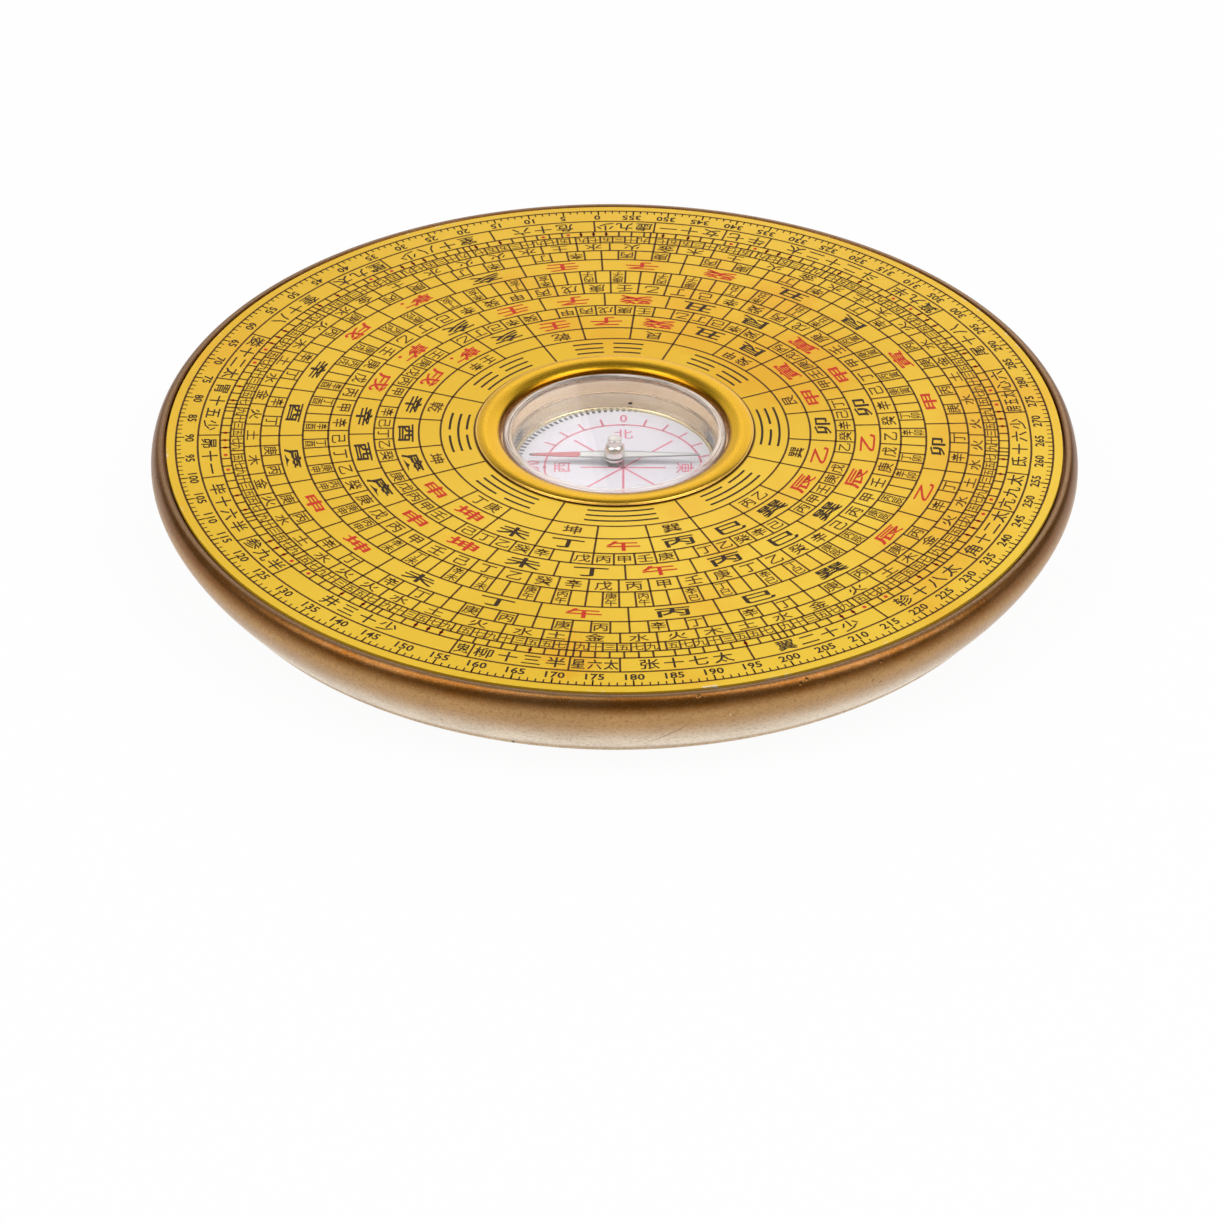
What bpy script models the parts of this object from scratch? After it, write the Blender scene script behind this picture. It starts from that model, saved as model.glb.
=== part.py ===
"""Round table compass: a turned body with a printed dial plate, a gold bezel and a sealed needle capsule.

Metres, +Z up. The origin is the centre of the flat face that the body rests on.
The dial's zero points along +Y.
"""

import math

import bmesh
import bpy
import numpy as np

MM = 0.001

# Body, measured inwards and upwards from the pieces that it holds
RIM_LAND = 0.7 * MM
SHOULDER_OUT = 2.2 * MM
SHOULDER_DROP = 4.1 * MM
SIDE_TAPER = 8.3 * MM
FOOT_ROUND = 0.9 * MM
BODY_FLOOR = 5.5 * MM
SIDE_BULGE_SHARE = 1.47

# Dial plate and the film under it
PLATE_RADIUS = 95.0 * MM
PLATE_THICKNESS = 0.8 * MM
PLATE_PROUD = 0.1 * MM
PLATE_EDGE_GAP = 0.5 * MM
PLATE_HOLE_GAP = 1.3 * MM
FILM_THICKNESS = 0.3 * MM
FILM_INSET = 1.5 * MM

# Bezel ring, a low arch over the plate with a spigot
BEZEL_FLANGE_WIDTH = 0.35 * MM
BEZEL_FLANGE_HEIGHT = 0.35 * MM
BEZEL_OUTER_SLOPE = 1.6 * MM
BEZEL_INNER_SLOPE = 3.4 * MM
BEZEL_CREST_HEIGHT = 0.65 * MM
BEZEL_EDGE_ROUND_SHARE = 0.65
BEZEL_LIP_DROP = 0.7 * MM
BEZEL_SPIGOT_DEPTH = 2.9 * MM
BEZEL_SPIGOT_WALL = 1.6 * MM
BEZEL_TO_CAPSULE = 0.45 * MM

# Capsule
CAPSULE_RADIUS = 23.8 * MM
COVER_SUNK = 0.5 * MM
COVER_THICKNESS = 0.9 * MM
COVER_WALL = 1.0 * MM
COVER_SHOULDER_WIDTH = 2.2 * MM
COVER_SHOULDER_DROP = 1.3 * MM
BASE_FLOOR = 1.8 * MM
BASE_WALL = 0.95 * MM
BASE_WALL_HEIGHT = 4.6 * MM
CARD_THICKNESS = 0.3 * MM
HOOP_WIDTH = 0.3 * MM
HOOP_HEIGHT = 0.15 * MM
PAD_THICKNESS = 0.8 * MM
PAD_INSET = 3.8 * MM

# Pivot
PIN_RADIUS = 0.35 * MM
PIN_POINT_RADIUS = 0.05 * MM
PIN_POINT_LENGTH = 1.3 * MM
PIN_SOCKET_FLOOR = 0.4 * MM
BOSS_WALL = 1.1 * MM
BOSS_HEIGHT = 0.8 * MM

# Needle
NEEDLE_LIFT = 2.25 * MM
NEEDLE_TIP_GAP = 2.75 * MM
NEEDLE_ROOT_WIDTH = 2.8 * MM
NEEDLE_TIP_WIDTH = 0.6 * MM
NEEDLE_THICKNESS = 0.25 * MM
EYE_WALL = 0.65 * MM
CAP_HEIGHT = 3.95 * MM
CAP_BELL_WIDTH = 0.95 * MM
CAP_RIM = 0.25 * MM
CAP_ROOF = 0.45 * MM
KNOB_HEIGHT = 1.5 * MM
KNOB_WALL = 0.55 * MM
KNOB_EDGE = 0.15 * MM
NECK_WALL = 0.35 * MM
COLLAR_HEIGHT = 0.7 * MM
JEWEL_RADIUS = 0.8 * MM
JEWEL_HEIGHT = 0.9 * MM
CUP_WALL = 0.25 * MM
CUP_DEPTH = 0.6 * MM
NEEDLE_BEARING = math.radians(88.0)

# Clearances, weld distance and overrun of cuts
SEAT_GAP = 0.3 * MM
FINE_GAP = 0.15 * MM
CAP_HEADROOM = 1.3 * MM
WELD = 0.001 * MM
OVERRUN = 1.0 * MM

# Facets round a full turn, and along a curved stretch
TURN_STEPS = 72
CAPSULE_STEPS = 60
SMALL_STEPS = 24
CURVE_STEPS = 4
EDGE_STEPS = 3
SHARP_ANGLE = math.radians(35.0)

# Levels, stacked up from the face that the body rests on
PAD_BOTTOM = BODY_FLOOR + SEAT_GAP
PAD_TOP = PAD_BOTTOM + PAD_THICKNESS
BASE_BOTTOM = PAD_TOP + SEAT_GAP
BASE_TOP = BASE_BOTTOM + BASE_FLOOR
CARD_BOTTOM = BASE_TOP + SEAT_GAP
CARD_TOP = CARD_BOTTOM + CARD_THICKNESS
BOSS_TOP = CARD_TOP + BOSS_HEIGHT
PIN_SOCKET_BOTTOM = BASE_BOTTOM + PIN_SOCKET_FLOOR
BLADE_TOP = CARD_TOP + NEEDLE_LIFT
BLADE_BOTTOM = BLADE_TOP - NEEDLE_THICKNESS
COLLAR_TOP = BLADE_BOTTOM - FINE_GAP
COLLAR_BOTTOM = COLLAR_TOP - COLLAR_HEIGHT
CAP_SEAT = BLADE_TOP + FINE_GAP
CAP_TOP = BLADE_TOP + CAP_HEIGHT
JEWEL_TOP = CAP_TOP - CAP_ROOF - FINE_GAP
JEWEL_BOTTOM = JEWEL_TOP - JEWEL_HEIGHT
PIN_TOP = JEWEL_BOTTOM + CUP_DEPTH - FINE_GAP
COVER_UNDERSIDE = CAP_TOP + CAP_HEADROOM
COVER_TOP = COVER_UNDERSIDE + COVER_THICKNESS
PLATE_TOP = COVER_TOP + COVER_SUNK
PLATE_BOTTOM = PLATE_TOP - PLATE_THICKNESS
FILM_TOP = PLATE_BOTTOM - SEAT_GAP
FILM_BOTTOM = FILM_TOP - FILM_THICKNESS
RECESS_FLOOR = FILM_BOTTOM - SEAT_GAP
RIM_HEIGHT = PLATE_TOP - PLATE_PROUD

# Radii, each from its neighbour: the body round the plate, then the bezel round the capsule
RECESS_RADIUS = PLATE_RADIUS + PLATE_EDGE_GAP
RIM_RADIUS = RECESS_RADIUS + RIM_LAND
BODY_RADIUS = RIM_RADIUS + SHOULDER_OUT
FOOT_RADIUS = BODY_RADIUS - SIDE_TAPER
POCKET_RADIUS = CAPSULE_RADIUS + SEAT_GAP
SPIGOT_INNER = CAPSULE_RADIUS + BEZEL_TO_CAPSULE
SPIGOT_OUTER = SPIGOT_INNER + BEZEL_SPIGOT_WALL
COUNTERBORE_RADIUS = SPIGOT_OUTER + SEAT_GAP
PLATE_HOLE_RADIUS = SPIGOT_OUTER + PLATE_HOLE_GAP
BEZEL_CREST_RADIUS = SPIGOT_INNER + BEZEL_INNER_SLOPE
BEZEL_FLANGE_RADIUS = BEZEL_CREST_RADIUS + BEZEL_OUTER_SLOPE
BEZEL_RADIUS = BEZEL_FLANGE_RADIUS + BEZEL_FLANGE_WIDTH

# Radii inside the capsule, from its skirt inwards to the needle's tip
SKIRT_INNER = CAPSULE_RADIUS - COVER_WALL
BASE_WALL_OUTER = SKIRT_INNER - SEAT_GAP
BASE_WALL_INNER = BASE_WALL_OUTER - BASE_WALL
HOOP_OUTER = BASE_WALL_INNER - FINE_GAP
HOOP_INNER = HOOP_OUTER - HOOP_WIDTH
CARD_RADIUS = HOOP_INNER - FINE_GAP
PAD_RADIUS = CAPSULE_RADIUS - PAD_INSET
NEEDLE_HALF_LENGTH = CARD_RADIUS - NEEDLE_TIP_GAP

# Radii round the pivot, from the pin and the jewel outwards
PIN_SOCKET_RADIUS = PIN_RADIUS + FINE_GAP
BOSS_RADIUS = PIN_SOCKET_RADIUS + BOSS_WALL
CARD_HOLE_RADIUS = BOSS_RADIUS + FINE_GAP
CUP_RADIUS = JEWEL_RADIUS - CUP_WALL
CAP_BORE_RADIUS = JEWEL_RADIUS + FINE_GAP
NECK_RADIUS = CAP_BORE_RADIUS + NECK_WALL
EYE_HOLE_RADIUS = NECK_RADIUS + FINE_GAP
EYE_RADIUS = EYE_HOLE_RADIUS + EYE_WALL
KNOB_RADIUS = CAP_BORE_RADIUS + KNOB_WALL
CAP_RADIUS = NECK_RADIUS + CAP_BELL_WIDTH


def finish(name, colour, roughness, metallic=0.0, alpha=1.0):
    """A Principled material of one colour."""
    material = bpy.data.materials.new(name)
    material.use_nodes = True
    shader = material.node_tree.nodes["Principled BSDF"]
    shader.inputs["Base Color"].default_value = (*colour, 1.0)
    shader.inputs["Roughness"].default_value = roughness
    shader.inputs["Metallic"].default_value = metallic
    shader.inputs["Alpha"].default_value = alpha
    material.diffuse_color = (*colour, alpha)
    return material


def arc(centre, radii, start, end, steps=CURVE_STEPS):
    """Points (r, z) of an elliptical arc between two angles in degrees, counted from +r towards +z."""
    turns = np.radians(np.linspace(start, end, steps + 1))
    return [(centre[0] + radii[0] * math.cos(a), centre[1] + radii[1] * math.sin(a)) for a in turns]


def add_object(name, bm, material):
    """Closes a bmesh into a named object, smooth but for its sharp edges."""
    bmesh.ops.remove_doubles(bm, verts=bm.verts, dist=WELD)
    bmesh.ops.recalc_face_normals(bm, faces=bm.faces)
    mesh = bpy.data.meshes.new(name)
    bm.to_mesh(mesh)
    bm.free()
    mesh.shade_smooth()
    mesh.set_sharp_from_angle(angle=SHARP_ANGLE)
    mesh.materials.append(material)
    piece = bpy.data.objects.new(name, mesh)
    bpy.context.scene.collection.objects.link(piece)
    return piece


def turned(name, section, material, steps):
    """Spins a closed section of (r, z) points a full turn round Z."""
    bm = bmesh.new()
    verts = [bm.verts.new((r, 0.0, z)) for r, z in section]
    edges = []
    for a, b in zip(verts, verts[1:] + verts[:1]):
        if a.co.x > WELD or b.co.x > WELD:
            edges.append(bm.edges.new((a, b)))
    bmesh.ops.spin(
        bm, geom=verts + edges, cent=(0, 0, 0), axis=(0, 0, 1),
        angle=math.tau, steps=steps, use_merge=True,
    )
    return add_object(name, bm, material)


def plain_ring(name, inner, outer, bottom, top, material, steps):
    """A flat ring, or a disc where its inner radius is zero."""
    section = [(inner, top), (outer, top), (outer, bottom), (inner, bottom)]
    return turned(name, section, material, steps)


def body_side():
    """The body's outer side: a rounded shoulder, then a bulging taper down to the foot."""
    shoulder_z = RIM_HEIGHT - SHOULDER_DROP
    points = arc((RIM_RADIUS, shoulder_z), (BODY_RADIUS - RIM_RADIUS, SHOULDER_DROP), 90, 0)
    for share in np.linspace(0.0, 1.0, 2 * CURVE_STEPS + 1)[1:-1]:
        radius = BODY_RADIUS - (BODY_RADIUS - FOOT_RADIUS) * share ** SIDE_BULGE_SHARE
        points.append((radius, FOOT_ROUND + (shoulder_z - FOOT_ROUND) * (1.0 - share)))
    points += arc((FOOT_RADIUS - FOOT_ROUND, FOOT_ROUND), (FOOT_ROUND, FOOT_ROUND), 0, -90, CURVE_STEPS // 2)
    return points


def make_body():
    """Turned body with a recess for the plate and a stepped pocket for bezel and capsule."""
    paint = finish("body_paint", (0.36, 0.22, 0.10), 0.45, 0.6)
    step_z = PLATE_TOP - BEZEL_SPIGOT_DEPTH - SEAT_GAP
    section = body_side()
    section += [(0.0, 0.0), (0.0, BODY_FLOOR), (POCKET_RADIUS, BODY_FLOOR), (POCKET_RADIUS, step_z)]
    section += [(COUNTERBORE_RADIUS, step_z), (COUNTERBORE_RADIUS, RECESS_FLOOR)]
    section += [(RECESS_RADIUS, RECESS_FLOOR), (RECESS_RADIUS, RIM_HEIGHT)]
    return turned("base_body", section, paint, TURN_STEPS)


def make_plate():
    """Printed dial plate, and the adhesive film that holds it down in its recess."""
    film = finish("film", (0.80, 0.76, 0.62), 0.6)
    gold = finish("dial_gold", (0.86, 0.55, 0.05), 0.35, 0.5)
    film_outer = PLATE_RADIUS - FILM_INSET
    film_inner = PLATE_HOLE_RADIUS + FILM_INSET
    plain_ring("plate_adhesive", film_inner, film_outer, FILM_BOTTOM, FILM_TOP, film, TURN_STEPS)
    plain_ring("dial_plate", PLATE_HOLE_RADIUS, PLATE_RADIUS, PLATE_BOTTOM, PLATE_TOP, gold, TURN_STEPS)


def make_bezel():
    """Gold ring: a low arch over the plate that falls to the capsule, and a spigot down into the body."""
    gold = finish("bezel_gold", (0.80, 0.50, 0.06), 0.28, 1.0)
    foot_z = PLATE_TOP + FINE_GAP
    flange_z = PLATE_TOP + BEZEL_FLANGE_HEIGHT
    crest_z = PLATE_TOP + BEZEL_CREST_HEIGHT
    lip_z = PLATE_TOP - BEZEL_LIP_DROP
    spigot_z = PLATE_TOP - BEZEL_SPIGOT_DEPTH
    edge_round = BEZEL_EDGE_ROUND_SHARE * (flange_z - foot_z)
    edge_centre = (BEZEL_RADIUS - edge_round, flange_z - edge_round)
    section = [(BEZEL_RADIUS, foot_z)]
    section += arc(edge_centre, (edge_round, edge_round), 0, 90, EDGE_STEPS)
    section += arc((BEZEL_CREST_RADIUS, flange_z), (BEZEL_OUTER_SLOPE, crest_z - flange_z), 0, 90)
    inner_radii = (BEZEL_INNER_SLOPE, crest_z - lip_z)
    section += arc((BEZEL_CREST_RADIUS, lip_z), inner_radii, 90, 180, 2 * CURVE_STEPS)[1:]
    section += [(SPIGOT_INNER, spigot_z), (SPIGOT_OUTER, spigot_z), (SPIGOT_OUTER, foot_z)]
    return turned("bezel_ring", section, gold, TURN_STEPS)


def make_capsule():
    """Clear cover with its skirt, clear base with a boss for the pin, the card, its hoop and the pad."""
    clear = finish("clear_plastic", (0.92, 0.93, 0.92), 0.05, 0.0, 0.3)
    tape = finish("pad_foam", (0.75, 0.73, 0.68), 0.8)
    paper = finish("card_paper", (0.76, 0.74, 0.80), 0.5)
    brass = finish("hoop_brass", (0.78, 0.52, 0.10), 0.3, 1.0)
    skirt_bottom = BASE_TOP + SEAT_GAP
    shoulder = (CAPSULE_RADIUS - COVER_SHOULDER_WIDTH, COVER_TOP - COVER_SHOULDER_DROP)
    hollow_radii = (COVER_SHOULDER_WIDTH - COVER_WALL, COVER_SHOULDER_DROP - COVER_THICKNESS)
    cover = [(0.0, COVER_UNDERSIDE), (0.0, COVER_TOP)]
    cover += arc(shoulder, (COVER_SHOULDER_WIDTH, COVER_SHOULDER_DROP), 90, 0, 2 * CURVE_STEPS)
    cover += [(CAPSULE_RADIUS, skirt_bottom), (SKIRT_INNER, skirt_bottom)]
    cover += arc(shoulder, hollow_radii, 0, 90)
    turned("capsule_cover", cover, clear, CAPSULE_STEPS)

    wall_top = BASE_TOP + BASE_WALL_HEIGHT
    base = [(0.0, BASE_BOTTOM), (CAPSULE_RADIUS, BASE_BOTTOM), (CAPSULE_RADIUS, BASE_TOP)]
    base += [(BASE_WALL_OUTER, BASE_TOP), (BASE_WALL_OUTER, wall_top), (BASE_WALL_INNER, wall_top)]
    base += [(BASE_WALL_INNER, BASE_TOP), (BOSS_RADIUS, BASE_TOP), (BOSS_RADIUS, BOSS_TOP)]
    base += [(PIN_SOCKET_RADIUS, BOSS_TOP), (PIN_SOCKET_RADIUS, PIN_SOCKET_BOTTOM), (0.0, PIN_SOCKET_BOTTOM)]
    turned("capsule_base", base, clear, CAPSULE_STEPS)

    hoop_bottom = BASE_TOP + FINE_GAP
    hoop_top = CARD_TOP + HOOP_HEIGHT
    plain_ring("compass_card", CARD_HOLE_RADIUS, CARD_RADIUS, CARD_BOTTOM, CARD_TOP, paper, CAPSULE_STEPS)
    plain_ring("card_hoop", HOOP_INNER, HOOP_OUTER, hoop_bottom, hoop_top, brass, CAPSULE_STEPS)
    plain_ring("capsule_pad", 0.0, PAD_RADIUS, PAD_BOTTOM, PAD_TOP, tape, CAPSULE_STEPS)


def make_pin():
    """Pivot pin that stands in the base's boss and ends in a fine point under the jewel."""
    steel = finish("pin_steel", (0.60, 0.60, 0.62), 0.2, 1.0)
    section = [(0.0, PIN_TOP), (PIN_POINT_RADIUS, PIN_TOP), (PIN_RADIUS, PIN_TOP - PIN_POINT_LENGTH)]
    section += [(PIN_RADIUS, PIN_SOCKET_BOTTOM + FINE_GAP), (0.0, PIN_SOCKET_BOTTOM + FINE_GAP)]
    return turned("pivot_pin", section, steel, SMALL_STEPS // 2)


def blade_outline():
    """Needle blade seen from above, its red end along +Y: two tapered arms and a round eye."""
    root = NEEDLE_ROOT_WIDTH / 2
    tip = NEEDLE_TIP_WIDTH / 2
    corner = math.degrees(math.acos(root / EYE_RADIUS))
    half = [(tip, NEEDLE_HALF_LENGTH)]
    half += arc((0.0, 0.0), (EYE_RADIUS, EYE_RADIUS), corner, -corner, CURVE_STEPS)
    half += [(tip, -NEEDLE_HALF_LENGTH)]
    return half + [(-x, -y) for x, y in half]


def make_blade(axle):
    """Magnetised steel blade with its eye bored out for the cap's neck."""
    steel = finish("needle_steel", (0.62, 0.62, 0.60), 0.3, 1.0)
    bm = bmesh.new()
    face = bm.faces.new([bm.verts.new((x, y, BLADE_BOTTOM)) for x, y in blade_outline()])
    lifted = bmesh.ops.extrude_face_region(bm, geom=[face])["geom"]
    upper = [v for v in lifted if isinstance(v, bmesh.types.BMVert)]
    bmesh.ops.translate(bm, verts=upper, vec=(0.0, 0.0, NEEDLE_THICKNESS))
    blade = add_object("needle_blade", bm, steel)

    cut_bottom = BLADE_BOTTOM - OVERRUN
    cut_top = BLADE_TOP + OVERRUN
    cutter = plain_ring("eye_cutter", 0.0, EYE_HOLE_RADIUS, cut_bottom, cut_top, steel, SMALL_STEPS)
    cutter.hide_render = True
    cutter.display_type = "WIRE"
    bore = blade.modifiers.new("eye_bore", "BOOLEAN")
    bore.object = cutter
    blade.parent = axle
    cutter.parent = axle


def make_needle():
    """The swinging needle: blade, cap, collar and jewel, carried by an empty on the pivot's axis."""
    nickel = finish("nickel", (0.66, 0.62, 0.56), 0.18, 1.0)
    ruby = finish("jewel_glass", (0.55, 0.40, 0.40), 0.1)
    axle = bpy.data.objects.new("needle_axle", None)
    bpy.context.scene.collection.objects.link(axle)
    make_blade(axle)

    knob_foot = CAP_TOP - KNOB_HEIGHT
    dome_radii = (CAP_RADIUS - KNOB_RADIUS, knob_foot - CAP_SEAT - CAP_RIM)
    bore_top = CAP_TOP - CAP_ROOF
    cap = [(0.0, bore_top), (0.0, CAP_TOP), (KNOB_RADIUS - KNOB_EDGE, CAP_TOP)]
    cap += [(KNOB_RADIUS, CAP_TOP - KNOB_EDGE)]
    cap += arc((KNOB_RADIUS, CAP_SEAT + CAP_RIM), dome_radii, 90, 0)
    cap += [(CAP_RADIUS, CAP_SEAT), (NECK_RADIUS, CAP_SEAT), (NECK_RADIUS, COLLAR_BOTTOM)]
    cap += [(CAP_BORE_RADIUS, COLLAR_BOTTOM), (CAP_BORE_RADIUS, bore_top)]
    turned("needle_cap", cap, nickel, SMALL_STEPS).parent = axle

    collar_edge = (CAP_RADIUS - EYE_HOLE_RADIUS) / 2
    collar = [(EYE_HOLE_RADIUS, COLLAR_TOP)]
    collar += arc((CAP_RADIUS - collar_edge, COLLAR_TOP), (collar_edge, COLLAR_HEIGHT), 0, -90)
    collar += [(EYE_HOLE_RADIUS, COLLAR_BOTTOM)]
    turned("needle_collar", collar, nickel, SMALL_STEPS).parent = axle

    jewel = [(0.0, JEWEL_TOP), (JEWEL_RADIUS, JEWEL_TOP), (JEWEL_RADIUS, JEWEL_BOTTOM)]
    jewel += [(CUP_RADIUS, JEWEL_BOTTOM), (0.0, JEWEL_BOTTOM + CUP_DEPTH)]
    turned("needle_jewel", jewel, ruby, SMALL_STEPS).parent = axle
    axle.rotation_euler = (0.0, 0.0, NEEDLE_BEARING)


def main():
    for old in list(bpy.data.objects):
        bpy.data.objects.remove(old)
    make_body()
    make_plate()
    make_bezel()
    make_capsule()
    make_pin()
    make_needle()


main()
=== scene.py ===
"""Looks of the round table compass: its fine surfaces, finishes, printed dial, lights and camera.

Metres, +Z up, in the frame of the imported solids. The dial's zero points along +Y.
"""

import math

import bpy
import numpy as np
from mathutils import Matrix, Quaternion, Vector


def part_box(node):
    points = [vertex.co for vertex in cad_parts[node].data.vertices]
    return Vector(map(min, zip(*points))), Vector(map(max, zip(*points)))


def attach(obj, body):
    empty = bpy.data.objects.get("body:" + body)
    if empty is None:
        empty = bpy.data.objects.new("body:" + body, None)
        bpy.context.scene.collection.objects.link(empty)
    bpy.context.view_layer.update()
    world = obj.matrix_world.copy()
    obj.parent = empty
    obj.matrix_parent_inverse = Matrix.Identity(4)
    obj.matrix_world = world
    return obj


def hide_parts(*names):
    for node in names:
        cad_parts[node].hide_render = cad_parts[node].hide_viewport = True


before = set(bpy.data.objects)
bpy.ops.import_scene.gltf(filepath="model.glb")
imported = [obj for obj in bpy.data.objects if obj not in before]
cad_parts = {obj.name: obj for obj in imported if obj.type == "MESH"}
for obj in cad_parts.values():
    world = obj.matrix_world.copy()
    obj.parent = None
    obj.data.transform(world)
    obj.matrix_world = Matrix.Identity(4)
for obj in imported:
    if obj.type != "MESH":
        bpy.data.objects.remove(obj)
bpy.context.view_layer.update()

MM = 0.001
HOUSING = "housing"
NEEDLE = "needle"


# Sizes read from the solids

def reach(node):
    """Outer radius, underside and top of a round solid that is centred on the pivot's axis."""
    low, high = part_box(node)
    return high.x, low.z, high.z


PLATE_RADIUS, PLATE_BOTTOM, PLATE_TOP = reach("dial_plate")
BODY_RADIUS, _, RIM_HEIGHT = reach("base_body")
BEZEL_RADIUS, SPIGOT_BOTTOM, BEZEL_TOP = reach("bezel_ring")
COVER_RADIUS, COVER_BOTTOM, COVER_TOP = reach("capsule_cover")
CARD_RADIUS, CARD_BOTTOM, CARD_TOP = reach("compass_card")
HOOP_RADIUS, HOOP_BOTTOM, HOOP_TOP = reach("card_hoop")
_, BASE_BOTTOM, BASE_WALL_TOP = reach("capsule_base")
_, BLADE_BOTTOM, BLADE_TOP = reach("needle_blade")
_, CAP_BOTTOM, CAP_TOP = reach("needle_cap")
_, COLLAR_BOTTOM, COLLAR_TOP = reach("needle_collar")
_, PIN_BOTTOM, PIN_TOP = reach("pivot_pin")
_, FILM_BOTTOM, _ = reach("plate_adhesive")
_, PAD_BOTTOM, _ = reach("capsule_pad")

# Gaps between pieces, and how far print and the sheet of painted glints lie over their ground
SEAT_GAP = 0.3 * MM
FINE_GAP = 0.15 * MM
PRINT_LIFT = 0.03 * MM
COVER_SHEET_LIFT = 0.02 * MM

# Body
RIM_LAND = 0.7 * MM
RIM_EDGE = 0.25 * MM
SHOULDER_OUT = 2.2 * MM
SHOULDER_DROP = 4.1 * MM
SHOULDER_Z = RIM_HEIGHT - SHOULDER_DROP
SIDE_TAPER = 8.3 * MM
SIDE_BULGE = 1.47
FOOT_ROUND = 0.9 * MM
PLATE_EDGE_GAP = 0.5 * MM
RECESS_RADIUS = PLATE_RADIUS + PLATE_EDGE_GAP
RECESS_FLOOR = FILM_BOTTOM - SEAT_GAP
BODY_FLOOR = PAD_BOTTOM - SEAT_GAP
POCKET_RADIUS = COVER_RADIUS + SEAT_GAP

# Bezel
BEZEL_TO_CAPSULE = 0.45 * MM
SPIGOT_WALL = 1.6 * MM
INNER_SLOPE = 3.4 * MM
OUTER_SLOPE = 1.6 * MM
FLANGE_HEIGHT = 0.35 * MM
EDGE_ROUND_SHARE = 0.65
LIP_DROP = 0.7 * MM
PLATE_HOLE_GAP = 1.3 * MM
SPIGOT_INNER = COVER_RADIUS + BEZEL_TO_CAPSULE
SPIGOT_OUTER = SPIGOT_INNER + SPIGOT_WALL
BEZEL_FOOT = PLATE_TOP + FINE_GAP
PLATE_HOLE = SPIGOT_OUTER + PLATE_HOLE_GAP
COUNTERBORE = SPIGOT_OUTER + SEAT_GAP

# Capsule
COVER_THICK = 0.9 * MM
COVER_WALL = 1.0 * MM
COVER_SHOULDER = np.array([2.2, 1.3]) * MM
COVER_ROUND = 0.8 * MM
BASE_WALL = 0.95 * MM
BASE_WALL_OUTER = COVER_RADIUS - COVER_WALL - SEAT_GAP
HOOP_WIDTH = 0.3 * MM
HOOP_RAISED = 0.4 * MM
PIN_RADIUS = 0.35 * MM
PIN_POINT_RADIUS = 0.05 * MM
PIN_POINT_LENGTH = 1.3 * MM
PIN_SOCKET = PIN_RADIUS + FINE_GAP
BOSS_WALL = 1.1 * MM
BOSS_RADIUS = PIN_SOCKET + BOSS_WALL
BOSS_HEIGHT = 0.8 * MM
CARD_HOLE = BOSS_RADIUS + FINE_GAP

# Needle
NEEDLE_BEARING = math.radians(88.0)
NEEDLE_TIP_GAP = 2.75 * MM
NEEDLE_REACH = CARD_RADIUS - NEEDLE_TIP_GAP
ROOT_HALF = 1.4 * MM
TIP_HALF = 0.3 * MM
RED_START = 7.2 * MM
NECK_RADIUS = 1.3 * MM
CAP_BELL_WIDTH = 0.95 * MM
CAP_RADIUS = NECK_RADIUS + CAP_BELL_WIDTH
CAP_BORE = 0.95 * MM
CAP_RIM = 0.25 * MM
CAP_ROOF = 0.45 * MM
KNOB_RADIUS = 1.5 * MM
KNOB_HEIGHT = 1.5 * MM
EYE_WALL = 0.65 * MM
EYE_HOLE = NECK_RADIUS + FINE_GAP
EYE_RADIUS = EYE_HOLE + EYE_WALL

# Facets, and the angle in degrees up to which a bend is shaded smooth
TURN_STEPS = 288
SMALL_TURN_STEPS = 96
ARC_STEPS = 10
SMOOTH_ANGLE = 30.0
BLADE_SMOOTH_ANGLE = 35.0


# Mesh making

def mesh_object(name, points, faces, smooth_angle=None):
    """An object at the origin with its place in its mesh."""
    mesh = bpy.data.meshes.new(name)
    mesh.from_pydata(np.asarray(points).tolist(), [], faces)
    mesh.validate()
    piece = bpy.data.objects.new(name, mesh)
    bpy.context.scene.collection.objects.link(piece)
    if smooth_angle is not None:
        mesh.shade_smooth()
        mesh.set_sharp_from_angle(angle=math.radians(smooth_angle))
    return piece


def arc(centre, radii, start, end, steps=ARC_STEPS):
    """Ellipse arc: r = centre r + radius cos a, z = centre z + radius sin a, a in degrees."""
    a = np.radians(np.linspace(start, end, steps + 1))
    return np.stack([centre[0] + radii[0] * np.cos(a), centre[1] + radii[1] * np.sin(a)], 1)


def fillet(corners, steps=4):
    """A closed section whose corners (r, z, rounding) become arcs.

    Each arc is the quadratic curve p = (1-t)^2 a + 2t(1-t) b + t^2 c, with a and c at the rounding's
    distance from corner b along its two sides.
    """
    points = np.array([c[:2] for c in corners], float)
    made = []
    t = np.linspace(0.0, 1.0, steps + 1)[:, None]
    for i, corner in enumerate(corners):
        b = points[i]
        if not corner[2]:
            made.append(b[None])
            continue
        before = points[i - 1] - b
        after = points[(i + 1) % len(points)] - b
        a = b + before / np.linalg.norm(before) * corner[2]
        c = b + after / np.linalg.norm(after) * corner[2]
        made.append((1 - t) ** 2 * a + 2 * t * (1 - t) * b + t ** 2 * c)
    return np.concatenate(made)


def carried_round(line, steps):
    """Rows of points: a line's (r, z) at each angle a of a turn, x = r sin a, y = r cos a, z = z."""
    a = np.linspace(0.0, math.tau, steps, endpoint=False)
    r, z = np.asarray(line, float).T
    rows = [np.outer(r, np.sin(a)), np.outer(r, np.cos(a)), np.repeat(z[:, None], steps, 1)]
    return np.stack(rows, 2).reshape(-1, 3)


def quads_between(rows, following):
    """Quads from each row of point numbers to the row that follows it, closed round each row."""
    corners = [rows, np.roll(rows, -1, 1), np.roll(following, -1, 1), following]
    return np.stack(corners, 2).reshape(-1, 4)


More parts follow.
